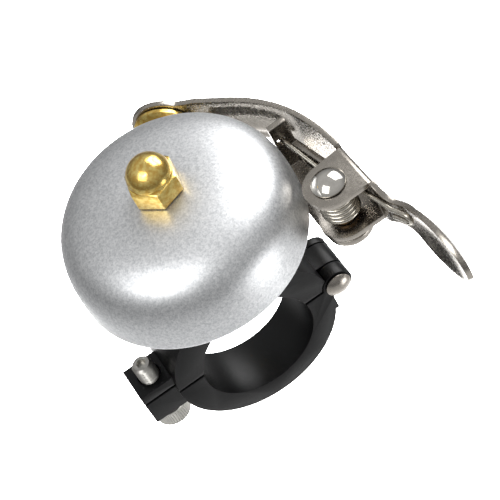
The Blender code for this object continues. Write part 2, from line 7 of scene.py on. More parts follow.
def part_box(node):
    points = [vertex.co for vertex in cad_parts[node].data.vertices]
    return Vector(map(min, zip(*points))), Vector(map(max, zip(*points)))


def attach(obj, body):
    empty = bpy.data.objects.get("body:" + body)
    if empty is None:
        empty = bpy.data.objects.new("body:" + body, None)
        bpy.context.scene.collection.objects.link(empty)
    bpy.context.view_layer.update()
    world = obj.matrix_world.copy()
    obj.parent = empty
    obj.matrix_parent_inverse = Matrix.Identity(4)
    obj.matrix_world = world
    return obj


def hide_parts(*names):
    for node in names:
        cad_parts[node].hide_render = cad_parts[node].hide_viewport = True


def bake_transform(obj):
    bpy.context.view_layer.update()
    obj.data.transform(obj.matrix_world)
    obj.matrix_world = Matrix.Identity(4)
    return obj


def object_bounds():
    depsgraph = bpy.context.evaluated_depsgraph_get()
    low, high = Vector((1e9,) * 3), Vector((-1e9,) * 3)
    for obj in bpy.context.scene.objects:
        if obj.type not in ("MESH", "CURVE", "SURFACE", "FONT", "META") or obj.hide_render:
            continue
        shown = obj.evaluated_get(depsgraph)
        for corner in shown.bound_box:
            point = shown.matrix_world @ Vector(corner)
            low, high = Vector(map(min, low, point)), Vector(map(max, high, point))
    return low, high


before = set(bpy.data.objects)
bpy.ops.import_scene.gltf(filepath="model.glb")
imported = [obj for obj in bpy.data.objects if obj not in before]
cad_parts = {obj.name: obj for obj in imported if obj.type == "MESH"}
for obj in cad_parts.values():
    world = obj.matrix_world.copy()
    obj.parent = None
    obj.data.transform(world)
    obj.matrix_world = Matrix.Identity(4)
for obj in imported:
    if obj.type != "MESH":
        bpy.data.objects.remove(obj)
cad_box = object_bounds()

# ---- Clamp, upper half ----
# A zinc die casting in a satin black powder coat: half a ring for the handlebar, an ear for the
# screw, a boss that carries the bell, and the middle knuckle of the hinge. Its edges are tumbled.

MM = 0.001
MERGE = 0.001 * MM
FLAT = math.radians(0.4)
SMOOTH = math.radians(32)
COAT_COLOUR = "060607"
COAT_GLINT_COLOUR = "0C0C0D"
COAT_GRAIN = 0.35 * MM
COAT_FLOW = 4 * MM
CAST_EDGE = 0.32 * MM

bpy.ops.object.select_all(action="DESELECT")


def linear(colour):
    """An sRGB hex colour as linear red, green, blue and alpha."""
    shares = [int(colour[i : i + 2], 16) / 255 for i in (0, 2, 4)]
    return [s / 12.92 if s <= 0.04045 else ((s + 0.055) / 1.055) ** 2.4 for s in shares] + [1.0]


def new_material(name, metallic, roughness):
    """A material with its Principled shader, and the Object coordinates that its patterns read."""
    made = bpy.data.materials.new(name)
    made.use_nodes = True
    shader = made.node_tree.nodes["Principled BSDF"]
    shader.inputs["Metallic"].default_value = metallic
    shader.inputs["Roughness"].default_value = roughness
    place = made.node_tree.nodes.new("ShaderNodeTexCoord").outputs["Object"]
    return made, shader, place


def add_node(made, kind, inputs, **settings):
    """Adds a node with its settings. Each input is a value, or a socket to link from."""
    node = made.node_tree.nodes.new(kind)
    for setting, value in settings.items():
        setattr(node, setting, value)
    for key, value in inputs.items():
        if isinstance(value, bpy.types.NodeSocket):
            made.node_tree.links.new(value, node.inputs[key])
        else:
            node.inputs[key].default_value = value
    return node


def link(made, output, shader, key):
    made.node_tree.links.new(output, shader.inputs[key])


def edit(piece):
    """Opens a piece in edit mode with nothing selected."""
    bpy.ops.object.select_all(action="DESELECT")
    bpy.context.view_layer.objects.active = piece
    piece.select_set(True)
    bpy.ops.object.mode_set(mode="EDIT")
    bpy.ops.mesh.select_all(action="DESELECT")


def close_edit():
    bpy.ops.object.mode_set(mode="OBJECT")


def apply_modifiers(piece):
    bpy.ops.object.select_all(action="DESELECT")
    bpy.context.view_layer.objects.active = piece
    piece.select_set(True)
    for modifier in list(piece.modifiers):
        bpy.ops.object.modifier_apply(modifier=modifier.name)


def break_edges(piece, width, segments=3, above=40):
    """Rounds every edge sharper than an angle in degrees."""
    bevel = piece.modifiers.new("edges", "BEVEL")
    bevel.width = width
    bevel.segments = segments
    bevel.limit_method = "ANGLE"
    bevel.angle_limit = math.radians(above)
    apply_modifiers(piece)


def shade(piece, material, angle=SMOOTH):
    bpy.ops.object.select_all(action="DESELECT")
    bpy.context.view_layer.objects.active = piece
    piece.select_set(True)
    bpy.ops.object.transform_apply(location=True, rotation=True, scale=True)
    bpy.ops.object.shade_smooth_by_angle(angle=angle)
    piece.data.materials.clear()
    piece.data.materials.append(material)
    piece.select_set(False)


def from_solid(node, name):
    """A copy of a solid of the frame, with its loose triangles merged into whole flat faces."""
    piece = bpy.data.objects.new(name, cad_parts[node].data.copy())
    bpy.context.scene.collection.objects.link(piece)
    edit(piece)
    bpy.ops.mesh.customdata_custom_splitnormals_clear()
    bpy.ops.mesh.select_all(action="SELECT")
    bpy.ops.mesh.remove_doubles(threshold=MERGE)
    bpy.ops.mesh.dissolve_limited(angle_limit=FLAT)
    close_edit()
    return piece


# Powder coat: black polyester with the faint orange peel that baking leaves, so that its
# highlights are soft and slightly uneven.
black_coat, coat_shader, coat_place = new_material("black_powder_coat", 0.0, 0.36)
coat_shader.inputs["Specular IOR Level"].default_value = 0.22
coat_peel = add_node(
    black_coat, "ShaderNodeTexNoise", {"Vector": coat_place, "Scale": 1 / COAT_GRAIN, "Detail": 3.0}
)
coat_flow = add_node(
    black_coat, "ShaderNodeTexNoise", {"Vector": coat_place, "Scale": 1 / COAT_FLOW, "Detail": 2.0}
)
coat_tone = add_node(
    black_coat,
    "ShaderNodeMix",
    {0: coat_flow.outputs["Fac"], 6: linear(COAT_COLOUR), 7: linear(COAT_GLINT_COLOUR)},
    data_type="RGBA",
)
link(black_coat, coat_tone.outputs[2], coat_shader, "Base Color")
coat_rough = add_node(
    black_coat,
    "ShaderNodeMapRange",
    {"Value": coat_peel.outputs["Fac"], "To Min": 0.28, "To Max": 0.46},
)
link(black_coat, coat_rough.outputs["Result"], coat_shader, "Roughness")
coat_bump = add_node(
    black_coat,
    "ShaderNodeBump",
    {"Height": coat_peel.outputs["Fac"], "Strength": 0.18, "Distance": 0.05 * MM},
)
link(black_coat, coat_bump.outputs["Normal"], coat_shader, "Normal")

clamp_top = from_solid("clamp_upper_half", "clamp_top")
break_edges(clamp_top, CAST_EDGE)
shade(clamp_top, black_coat)
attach(clamp_top, "base")
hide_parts("clamp_upper_half")

# ---- Clamp, lower half ----
# The ring's other casting, in the same coat, with the hinge's two outer knuckles. Its ear is
# slotted, so that the screw can stay upright while this half swings.

clamp_bottom = from_solid("clamp_lower_half", "clamp_bottom")
break_edges(clamp_bottom, CAST_EDGE)
shade(clamp_bottom, black_coat)
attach(clamp_bottom, "lower_jaw")
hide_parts("clamp_lower_half")

# ---- Hinge pin ----
# A turned steel rivet through the three knuckles, with a low domed head at the near end and its
# tail peened at the other. It has the same tumbled nickel plate as the stampings.

PIN_HEAD_RADIUS = 2.45 * MM
PIN_HEAD_HEIGHT = 1.0 * MM
PIN_HEAD_LAND = 0.1 * MM
PIN_NECK_RADIUS = 1.4 * MM
PIN_CHAMFER = 0.35 * MM
NICKEL_BLOTCH = 1.6 * MM
NICKEL_PIT = 0.5 * MM


def turned(name, outline, centre=(0, 0), sides=96, hollow=False):
    """A piece turned on a vertical axis through centre, from (radius, height) along its outline.

    A solid's outline runs from one end's rim to the other's, and its ends are closed. A hollow
    piece's outline comes back to its first point.
    """
    radius, height = outline[0]
    bpy.ops.mesh.primitive_circle_add(vertices=sides, radius=radius, location=(*centre, height))
    piece = bpy.context.object
    piece.name = name
    bpy.ops.object.mode_set(mode="EDIT")
    bpy.ops.mesh.select_all(action="SELECT")
    for next_radius, next_height in outline[1:] + outline[: int(hollow)]:
        bpy.ops.mesh.extrude_edges_move(TRANSFORM_OT_translate={"value": (0, 0, next_height - height)})
        grow = next_radius / radius
        bpy.ops.transform.resize(value=(grow, grow, 1), center_override=(*centre, next_height))
        radius = next_radius
        height = next_height
    bpy.ops.mesh.select_all(action="SELECT")
    bpy.ops.mesh.remove_doubles(threshold=MERGE)
    bpy.ops.mesh.fill_holes(sides=0)
    bpy.ops.mesh.select_all(action="SELECT")
    bpy.ops.mesh.normals_make_consistent(inside=False)
    close_edit()
    bpy.ops.object.transform_apply(location=True)
    return piece


def dome(radius, base, height, steps=12):
    """A spherical cap's outline from its crown down to its edge at the base."""
    sphere = (radius**2 + height**2) / (2 * height)
    full = math.asin(min(radius / sphere, 1))
    if height > radius:
        full = math.pi - full
    points = []
    for step in range(steps + 1):
        angle = full * max(step / steps, 0.02)
        points.append((sphere * math.sin(angle), base + height - sphere * (1 - math.cos(angle))))
    return points


# Nickel plate: warm silver, tumbled, so that it shows faint blotches and fine pits under a shine.
nickel, nickel_shader, nickel_place = new_material("tumbled_nickel_plate", 1.0, 0.26)
nickel_blotch = add_node(
    nickel, "ShaderNodeTexNoise", {"Vector": nickel_place, "Scale": 1 / NICKEL_BLOTCH, "Detail": 4.0}
)
nickel_pits = add_node(
    nickel, "ShaderNodeTexNoise", {"Vector": nickel_place, "Scale": 1 / NICKEL_PIT, "Detail": 5.0}
)
nickel_tone = add_node(
    nickel,
    "ShaderNodeMix",
    {0: nickel_blotch.outputs["Fac"], 6: linear("96908A"), 7: linear("B3ADA3")},
    data_type="RGBA",
)
link(nickel, nickel_tone.outputs[2], nickel_shader, "Base Color")
nickel_rough = add_node(
    nickel,
    "ShaderNodeMapRange",
    {"Value": nickel_pits.outputs["Fac"], "From Min": 0.3, "From Max": 0.7, "To Min": 0.2, "To Max": 0.32},
)
link(nickel, nickel_rough.outputs["Result"], nickel_shader, "Roughness")
nickel_bump = add_node(
    nickel,
    "ShaderNodeBump",
    {"Height": nickel_pits.outputs["Fac"], "Strength": 0.1, "Distance": 0.02 * MM},
)
link(nickel, nickel_bump.outputs["Normal"], nickel_shader, "Normal")

pin_low, pin_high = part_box("hinge_pin")
pin_middle = (pin_low + pin_high) / 2
pin_half = (pin_high.y - pin_low.y) / 2
pin_seat = pin_half - PIN_HEAD_HEIGHT
pin_side = dome(
    PIN_HEAD_RADIUS - PIN_CHAMFER, pin_seat + PIN_CHAMFER, PIN_HEAD_HEIGHT - PIN_CHAMFER
)
pin_side += [(PIN_HEAD_RADIUS, pin_seat + PIN_HEAD_LAND), (PIN_HEAD_RADIUS, pin_seat)]
pin_side += [(PIN_NECK_RADIUS, pin_seat)]
pin_side += [(PIN_NECK_RADIUS, PIN_CHAMFER - pin_half), (PIN_NECK_RADIUS - PIN_CHAMFER, -pin_half)]
knuckle_pin = turned("knuckle_pin", pin_side)
knuckle_pin.rotation_euler.x = math.pi / 2
knuckle_pin.location = pin_middle
shade(knuckle_pin, nickel)
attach(knuckle_pin, "base")
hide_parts("hinge_pin")

# ---- Clamp screw and its washer ----
# An M4 screw of zinc-plated steel with a knurled cylinder head and a hexagon socket. Its thread
# is rolled, 0.7 mm a turn, and comes out of the upper ear. A plain washer lies under its head.

PITCH = 0.7 * MM
THREAD_DEPTH = 0.38 * MM
THREAD_FADE = 0.35 * MM
SCREW_RADIUS = 1.95 * MM
HEAD_RADIUS = 3.5 * MM
HEAD_HEIGHT = 3.2 * MM
HEAD_EDGE = 0.35 * MM
HEAD_EDGE_STEPS = 4
HEAD_CHAMFER = 0.1 * MM
KNURLS = 44
KNURL_DEPTH = 0.2 * MM
SOCKET_RADIUS = 1.6 * MM
SOCKET_DEPTH = 1.4 * MM
TIP_CHAMFER = 0.4 * MM
TIP_FLAT_INSET = 0.45 * MM
TIP_RECESS_RADIUS = 1.0 * MM
TIP_RECESS_DEPTH = 0.8 * MM
ZINC_BLOOM = 0.9 * MM
PLAY = 0.3 * MM


def cut_with(piece, cutter, operation="DIFFERENCE"):
    """Cuts, joins or meets a piece with another solid, which goes."""
    change = piece.modifiers.new("cut", "BOOLEAN")
    change.operation = operation
    change.object = cutter
    change.solver = "EXACT"
    apply_modifiers(piece)
    bpy.data.objects.remove(cutter)


def threaded(piece, centre, radius, low, high):
    """Rolls a thread into a turned shaft: its surface sinks along a helix between two heights."""
    for vertex in piece.data.vertices:
        x = vertex.co.x - centre[0]
        y = vertex.co.y - centre[1]
        z = vertex.co.z
        if math.hypot(x, y) < radius * 0.98 or not low < z < high:
            continue
        turn = (z / PITCH - math.atan2(y, x) / math.tau) % 1
        fade = min(1, (z - low) / THREAD_FADE, (high - z) / THREAD_FADE)
        keep = 1 - THREAD_DEPTH / radius * fade * abs(2 * turn - 1)
        vertex.co.x = x * keep + centre[0]
        vertex.co.y = y * keep + centre[1]


def stretch(radius, high, low, step):
    """Outline points down a straight shaft, close enough to roll a thread into."""
    count = math.ceil((high - low) / step)
    return [(radius, high + (low - high) * i / count) for i in range(count + 1)]


# Zinc plate: cool pale grey with a slight bloom, which dulls its shine in patches.
zinc, zinc_shader, zinc_place = new_material("bright_zinc_plate", 1.0, 0.3)
zinc_bloom = add_node(
    zinc, "ShaderNodeTexNoise", {"Vector": zinc_place, "Scale": 1 / ZINC_BLOOM, "Detail": 5.0}
)
zinc_tone = add_node(
    zinc,
    "ShaderNodeMix",
    {0: zinc_bloom.outputs["Fac"], 6: linear("8F8D88"), 7: linear("CFCDC7")},
    data_type="RGBA",
)
link(zinc, zinc_tone.outputs[2], zinc_shader, "Base Color")
zinc_rough = add_node(
    zinc, "ShaderNodeMapRange", {"Value": zinc_bloom.outputs["Fac"], "To Min": 0.22, "To Max": 0.44}
)
link(zinc, zinc_rough.outputs["Result"], zinc_shader, "Roughness")
zinc_bump = add_node(
    zinc, "ShaderNodeBump", {"Height": zinc_bloom.outputs["Fac"], "Strength": 0.15, "Distance": 0.04 * MM}
)
link(zinc, zinc_bump.outputs["Normal"], zinc_shader, "Normal")

screw_low, screw_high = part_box("clamp_screw")
screw_x = (screw_low.x + screw_high.x) / 2
head_top = screw_low.z + HEAD_HEIGHT
screw_outline = [(SCREW_RADIUS - TIP_FLAT_INSET, screw_high.z)]
screw_outline += stretch(SCREW_RADIUS, screw_high.z - TIP_CHAMFER, head_top, PITCH / 10)
screw_outline += [(HEAD_RADIUS - HEAD_CHAMFER, head_top)]
screw_outline += [(HEAD_RADIUS, head_top - HEAD_CHAMFER)]
screw_outline += [(HEAD_RADIUS, screw_low.z + HEAD_EDGE)]
for step in range(1, HEAD_EDGE_STEPS + 1):
    around = math.pi / 2 * step / HEAD_EDGE_STEPS
    inset = HEAD_EDGE * (1 - math.cos(around))
    screw_outline.append((HEAD_RADIUS - inset, screw_low.z + HEAD_EDGE * (1 - math.sin(around))))
socket_screw = turned("socket_screw", screw_outline, (screw_x, 0), sides=KNURLS * 4)
threaded(socket_screw, (screw_x, 0), SCREW_RADIUS, head_top + PITCH, screw_high.z - 0.1 * MM)
for vertex in socket_screw.data.vertices:
    out = Vector((vertex.co.x - screw_x, vertex.co.y))
    if out.length > HEAD_RADIUS * 0.99 and vertex.co.z < head_top - 0.05 * MM:
        ridge = math.cos(math.atan2(out.y, out.x) * KNURLS)
        out *= 1 - KNURL_DEPTH / HEAD_RADIUS * (0.5 - 0.5 * ridge)
        vertex.co.x = screw_x + out.x
        vertex.co.y = out.y
bpy.ops.mesh.primitive_cylinder_add(
    vertices=6, radius=SOCKET_RADIUS, depth=2 * SOCKET_DEPTH, location=(screw_x, 0, screw_low.z)
)
cut_with(socket_screw, bpy.context.object)
bpy.ops.mesh.primitive_cone_add(
    vertices=32,
    radius1=TIP_RECESS_RADIUS * 0.75,
    radius2=TIP_RECESS_RADIUS,
    depth=2 * TIP_RECESS_DEPTH,
    location=(screw_x, 0, screw_high.z),
)
cut_with(socket_screw, bpy.context.object)
shade(socket_screw, zinc)
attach(socket_screw, "screw")
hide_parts("clamp_screw")


def ring_washer(node, name, bore, edge, sides=96):
    """A flat ring in the place of a solid of the frame, with a small radius on its edges."""
    low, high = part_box(node)
    radius = (high.x - low.x) / 2
    centre = ((low.x + high.x) / 2, (low.y + high.y) / 2)
    outline = [(bore, high.z), (radius, high.z), (radius, low.z), (bore, low.z)]
    made = turned(name, outline, centre, sides, hollow=True)
    break_edges(made, edge, segments=2)
    return made


plain_washer = ring_washer("screw_washer", "plain_washer", SCREW_RADIUS + PLAY, 0.12 * MM)
shade(plain_washer, zinc)
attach(plain_washer, "screw_carrier")
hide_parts("screw_washer")

# ---- Centre bolt ----
# The countersunk 5 mm bolt of zinc-plated steel that stands up from the bore through the whole
# stack. Its thread starts above the boss, and is drawn at the clamp screw's pitch.

BOLT_RADIUS = 2.5 * MM
BOLT_HEAD_RADIUS = 4.6 * MM
BOLT_TIP_INSET = 0.4 * MM
BOLT_TIP_CHAMFER = 0.5 * MM
BOLT_HEAD_EDGE = 0.1 * MM
BOLT_SOCKET_RADIUS = 1.7 * MM
BOLT_SOCKET_DEPTH = 1.6 * MM

bolt_low, bolt_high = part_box("centre_bolt")
bolt_neck = bolt_low.z + BOLT_HEAD_RADIUS - BOLT_RADIUS
bolt_outline = [(BOLT_RADIUS - BOLT_TIP_INSET, bolt_high.z)]
bolt_outline += stretch(BOLT_RADIUS, bolt_high.z - BOLT_TIP_CHAMFER, bolt_neck, PITCH / 8)
bolt_outline += [(BOLT_HEAD_RADIUS, bolt_low.z + BOLT_HEAD_EDGE)]
bolt_outline += [(BOLT_HEAD_RADIUS - BOLT_HEAD_EDGE, bolt_low.z)]
countersunk_bolt = turned("countersunk_bolt", bolt_outline, sides=64)
threaded(countersunk_bolt, (0, 0), BOLT_RADIUS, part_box("clamp_upper_half")[1].z, bolt_high.z)
bpy.ops.mesh.primitive_cylinder_add(
    vertices=6, radius=BOLT_SOCKET_RADIUS, depth=2 * BOLT_SOCKET_DEPTH, location=(0, 0, bolt_low.z)
)
cut_with(countersunk_bolt, bpy.context.object)
shade(countersunk_bolt, zinc)
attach(countersunk_bolt, "base")
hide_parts("centre_bolt")

# ---- Bracket ----
# A stamping of 1.3 mm steel in nickel plate, clamped on the boss: a lobe under the lever's pivot,
# a turned-up flange, and a tab with the hole that the spring hooks through.

STAMPED_EDGE = 0.2 * MM

bracket_plate = from_solid("mounting_bracket", "bracket_plate")
break_edges(bracket_plate, STAMPED_EDGE)
shade(bracket_plate, nickel)
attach(bracket_plate, "base")
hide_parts("mounting_bracket")

# ---- Lock washer and lock nut ----
# A spring washer of zinc-plated steel, split on a slant, and the thin hexagon nut that pulls the
# bracket down on the boss.

BOLT_BORE = 2.8 * MM
WASHER_SPLIT = 0.5 * MM
WASHER_SPLIT_REACH = 4 * MM
WASHER_SPLIT_SLANT = math.radians(25)
NUT_CORNER_RADIUS = 4.62 * MM
NUT_FLAT_RADIUS = NUT_CORNER_RADIUS * math.cos(math.pi / 6)
NUT_CLEAR_RADIUS = NUT_CORNER_RADIUS * 1.02  # just outside the corners

spring_washer = ring_washer("lock_washer", "spring_washer", BOLT_BORE, 0.1 * MM)
washer_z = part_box("lock_washer")[0].z
bpy.ops.mesh.primitive_cube_add(size=1, location=(0, -WASHER_SPLIT_REACH, washer_z))
split = bpy.context.object
split.scale = (WASHER_SPLIT, WASHER_SPLIT_REACH, WASHER_SPLIT_REACH)
split.rotation_euler.y = WASHER_SPLIT_SLANT
cut_with(spring_washer, split)
shade(spring_washer, zinc)
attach(spring_washer, "base")
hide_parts("lock_washer")


def hexagon(name, low, high, turn, both_ends):
    """A hexagon bar's slice with its corners chamfered at 30 degrees, as on a nut."""
    bpy.ops.mesh.primitive_cylinder_add(
        vertices=6, radius=NUT_CORNER_RADIUS, depth=high - low, location=(0, 0, (low + high) / 2)
    )
    made = bpy.context.object
    made.name = name
    made.rotation_euler.z = turn
    rise = (NUT_CORNER_RADIUS - NUT_FLAT_RADIUS) * math.tan(math.radians(30))
    bottom = [(NUT_FLAT_RADIUS, low - MERGE), (NUT_CLEAR_RADIUS, low + rise)]
    if not both_ends:
        bottom = [(NUT_CLEAR_RADIUS, low - rise)]
    rounding = [*bottom, (NUT_CLEAR_RADIUS, high - rise), (NUT_FLAT_RADIUS, high + MERGE)]
    cut_with(made, turned("rounding", rounding), "INTERSECT")
    return made


nut_low, nut_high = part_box("stud_lock_nut")
jam_nut = hexagon("jam_nut", nut_low.z, nut_high.z, 0, both_ends=True)
nut_bore = [(BOLT_BORE, nut_high.z + MM), (BOLT_BORE, nut_low.z - MM)]
cut_with(jam_nut, turned("nut_bore", nut_bore))
break_edges(jam_nut, 0.08 * MM, segments=2, above=50)
shade(jam_nut, zinc)
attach(jam_nut, "base")
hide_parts("stud_lock_nut")

# ---- Spacer and seat washer ----
# A turned sleeve of nickelled steel that sets the bell's height, and a moulded nylon washer that
# lets it ring.

spacer_sleeve = ring_washer("bell_spacer", "spacer_sleeve", BOLT_BORE, 0.25 * MM)
shade(spacer_sleeve, nickel)
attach(spacer_sleeve, "base")
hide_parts("bell_spacer")

# Nylon: milky white and faintly clouded, with a soft moulded skin.
nylon, nylon_shader, nylon_place = new_material("moulded_nylon", 0.0, 0.5)
nylon_haze = add_node(
    nylon, "ShaderNodeTexNoise", {"Vector": nylon_place, "Scale": 1 / (0.6 * MM), "Detail": 3.0}
)
nylon_tone = add_node(
    nylon,
    "ShaderNodeMix",
    {0: nylon_haze.outputs["Fac"], 6: linear("DAD6C9"), 7: linear("EFECE2")},
    data_type="RGBA",
)
link(nylon, nylon_tone.outputs[2], nylon_shader, "Base Color")
nylon_bump = add_node(
    nylon, "ShaderNodeBump", {"Height": nylon_haze.outputs["Fac"], "Strength": 0.1, "Distance": 0.03 * MM}
)
link(nylon, nylon_bump.outputs["Normal"], nylon_shader, "Normal")

nylon_seat = ring_washer("bell_seat_washer", "nylon_seat", BOLT_BORE, 0.2 * MM)
shade(nylon_seat, nylon)
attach(nylon_seat, "base")
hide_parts("bell_seat_washer")

# ---- Bell ----
# A dome of 1.5 mm aluminium, spun and then blasted with glass beads and anodised clear, with a
# nearly flat crown, a round shoulder and a slightly drawn-in rim.

BELL_RIM_RADIUS = 18.6 * MM
BELL_WALL = 1.5 * MM
BELL_WIDEST = 0.12
SIDE_POWER = 3.4
CROWN_POWER = 3.65
BELL_STEPS = 64
RIM_STEPS = 10
RIM_ROUND = 0.4 * MM
RIM_ROUND_STEPS = 8
BEAD_GRAIN = 0.24 * MM
BEAD_CLOUD = 0.55 * MM

bell_low, bell_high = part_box("bell_dome")
bell_radius = (bell_high.x - bell_low.x) / 2


def bell_skin(inset):
    """The dome's section from its crown to its rim, moved in by an inset."""
    radius = bell_radius - inset
    widest = BELL_WIDEST * (bell_high.z - bell_low.z)
    rise = bell_high.z - inset - bell_low.z - widest
    points = []
    for step in range(BELL_STEPS + 1):
        angle = math.pi / 4 * (1 + math.cos(math.pi * step / BELL_STEPS))
        out = radius * max(math.cos(angle), 0) ** (2 / SIDE_POWER)
        if out > BOLT_BORE:
            up = rise * math.sin(angle) ** (2 / CROWN_POWER)
            points.append((out, bell_low.z + widest + up))
    for step in range(1, RIM_STEPS + 1):
        side = 1 - step / RIM_STEPS
        drawn_in = (bell_radius - BELL_RIM_RADIUS) * (1 - math.sin(side * math.pi / 2))
        points.append((radius - drawn_in, bell_low.z + widest * side))
    return points


bell_outside = bell_skin(0)
bell_inside = bell_skin(BELL_WALL)
rim_middle = (bell_outside[-1][0] + bell_inside[-1][0]) / 2
rim_lip = []
for step in range(1, RIM_ROUND_STEPS):
    around = math.pi * step / RIM_ROUND_STEPS
    out = rim_middle + BELL_WALL / 2 * math.cos(around)
    rim_lip.append((out, bell_low.z + RIM_ROUND * (1 - math.sin(around))))
bell_outside = [point for point in bell_outside if point[1] > bell_low.z + RIM_ROUND]
bell_inside = [point for point in bell_inside if point[1] > bell_low.z + RIM_ROUND]
crown = [(BOLT_BORE, bell_high.z)]
ceiling = [(BOLT_BORE, bell_high.z - BELL_WALL)]
bell_shell = turned(
    "bell_shell", crown + bell_outside + rim_lip + bell_inside[::-1] + ceiling, sides=160, hollow=True
)

# Blasted aluminium: pale and matt, with a sparkle of tiny bright and dark facets where the beads
# struck. Real pits are about 0.05 mm wide and are drawn about five times as coarse, to show.
blasted, blasted_shader, blasted_place = new_material("bead_blasted_aluminium", 1.0, 0.4)
bead_pits = add_node(
    blasted, "ShaderNodeTexNoise", {"Vector": blasted_place, "Scale": 1 / BEAD_GRAIN, "Detail": 2.0}
)
bead_cloud = add_node(
    blasted, "ShaderNodeTexNoise", {"Vector": blasted_place, "Scale": 1 / BEAD_CLOUD, "Detail": 3.0}
)
bead_mix = add_node(
    blasted, "ShaderNodeMath", {0: bead_pits.outputs["Fac"], 1: bead_cloud.outputs["Fac"]}, operation="ADD"
)
bead_share = add_node(
    blasted, "ShaderNodeMapRange", {"Value": bead_mix.outputs[0], "From Min": 0.75, "From Max": 1.25}
)
bead_tone = add_node(
    blasted,
    "ShaderNodeMix",
    {0: bead_share.outputs["Result"], 6: linear("BFC1C3"), 7: linear("E2E3E4")},
    data_type="RGBA",
)
link(blasted, bead_tone.outputs[2], blasted_shader, "Base Color")
bead_rough = add_node(
    blasted, "ShaderNodeMapRange", {"Value": bead_pits.outputs["Fac"], "To Min": 0.38, "To Max": 0.5}
)
link(blasted, bead_rough.outputs["Result"], blasted_shader, "Roughness")
bead_bump = add_node(
    blasted, "ShaderNodeBump", {"Height": bead_pits.outputs["Fac"], "Strength": 0.16, "Distance": 0.04 * MM}
)
link(blasted, bead_bump.outputs["Normal"], blasted_shader, "Normal")

shade(bell_shell, blasted)
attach(bell_shell, "base")
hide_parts("bell_dome")

# ---- Acorn nut ----
# A domed hexagon nut turned from brass bar and polished. It screws down on the centre bolt and
# holds the bell, and the upper corners of its hexagon are chamfered.

ACORN_HEX_HEIGHT = 3.9 * MM
ACORN_CAP_RADIUS = 3.98 * MM
ACORN_CAP_STEPS = 28
ACORN_CAP_SINK = 0.6 * MM
ACORN_TURN = math.radians(-12.5)

acorn_low, acorn_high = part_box("acorn_nut")
hex_top = acorn_low.z + ACORN_HEX_HEIGHT
acorn_nut = hexagon("domed_nut", acorn_low.z, hex_top, ACORN_TURN, both_ends=False)
cap_centre = acorn_high.z - ACORN_CAP_RADIUS
cap_outline = []
for step in range(1, ACORN_CAP_STEPS + 1):
    angle = math.pi / 2 * step / ACORN_CAP_STEPS
    up = cap_centre + ACORN_CAP_RADIUS * math.cos(angle)
    cap_outline.append((ACORN_CAP_RADIUS * math.sin(angle), up))
cap_outline += [(ACORN_CAP_RADIUS, hex_top - ACORN_CAP_SINK)]
cut_with(acorn_nut, turned("cap", cap_outline), "UNION")
acorn_bore = [(BOLT_BORE, bolt_high.z + PLAY), (BOLT_BORE, acorn_low.z - MM)]
cut_with(acorn_nut, turned("nut_bore", acorn_bore))
break_edges(acorn_nut, 0.1 * MM, segments=2, above=45)

# Brass: warm gold with a hand polish that leaves fine ripples and a few darker breaths of tarnish.
brass, brass_shader, brass_place = new_material("polished_brass", 1.0, 0.2)
brass_tarnish = add_node(
    brass, "ShaderNodeTexNoise", {"Vector": brass_place, "Scale": 1 / (0.8 * MM), "Detail": 6.0}
)
brass_patch = add_node(
    brass,
    "ShaderNodeMapRange",
    {"Value": brass_tarnish.outputs["Fac"], "From Min": 0.42, "From Max": 0.62},
)
brass_tone = add_node(
    brass,
    "ShaderNodeMix",
    {0: brass_patch.outputs["Result"], 6: linear("D9B25C"), 7: linear("F4DA86")},
    data_type="RGBA",
)
link(brass, brass_tone.outputs[2], brass_shader, "Base Color")
brass_rough = add_node(
    brass, "ShaderNodeMapRange", {"Value": brass_tarnish.outputs["Fac"], "To Min": 0.3, "To Max": 0.14}
)
link(brass, brass_rough.outputs["Result"], brass_shader, "Roughness")
brass_ripple = add_node(
    brass, "ShaderNodeTexNoise", {"Vector": brass_place, "Scale": 1 / (0.25 * MM), "Detail": 4.0}
)
brass_bump = add_node(
    brass, "ShaderNodeBump", {"Height": brass_ripple.outputs["Fac"], "Strength": 0.16, "Distance": 0.04 * MM}
)
link(brass, brass_bump.outputs["Normal"], brass_shader, "Normal")

shade(acorn_nut, brass)
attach(acorn_nut, "base")
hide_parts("acorn_nut")

# ---- Lever ----
# One strip of 1 mm steel, stamped, bent and nickelled: a round end for the striker, a curved arm
# with a pressed rib, a clevis whose two ears fold in over the pivot, a neck, and a dished thumb
# paddle. It turns on the pivot's rivet.

STRIP = 1.0 * MM
STRIP_EDGE = 0.14 * MM
ARM_HALF_HEIGHT = 5.15 * MM
NECK_HALF_HEIGHT = 3.0 * MM
PADDLE_HALF_HEIGHT = 6.1 * MM
CLEVIS_INSET = 1.0 * MM
DISC_RADIUS = 6.1 * MM
WEB_START = (29.1 * MM, -7.0 * MM)
BOW_LENGTH = 10.0 * MM
SWEEP_LENGTH = 16.0 * MM
ARM_LENGTH = 5.7 * MM
DISC_BEND_LENGTH = 1.2 * MM
WEB_LENGTH = 10.0 * MM
NECK_LENGTH = 4.2 * MM
PADDLE_LENGTH = 19.4 * MM
PADDLE_FLARE = 9.5 * MM
PADDLE_TIP = 8.5 * MM
WEB_HEADING = math.radians(1.9)
BOW_HEADING = math.radians(15.3)
ARM_HEADING = math.radians(48.3)
STRIKER_HEADING = math.radians(57)
NECK_HEADING = math.radians(27)
TIP_HEADING = math.radians(-14)
RIB_DEPTH = 0.5 * MM
RIB_HALF_HEIGHT = 3.2 * MM
RIB_START = 13.6 * MM
RIB_END = 31.5 * MM
RIB_WALL = 1.1 * MM
DISH_DEPTH = 1.3 * MM
DISH_RUN_IN = 5 * MM
ROWS = 17
EAR_RADIUS = 4.6 * MM
FOLD_RADIUS = 1.1 * MM
FOLD_STEPS = 8
EAR_EDGE = 0.24 * MM
PIVOT_HOLE_RADIUS = 1.8 * MM
STUD_HOLE_RADIUS = 1.5 * MM

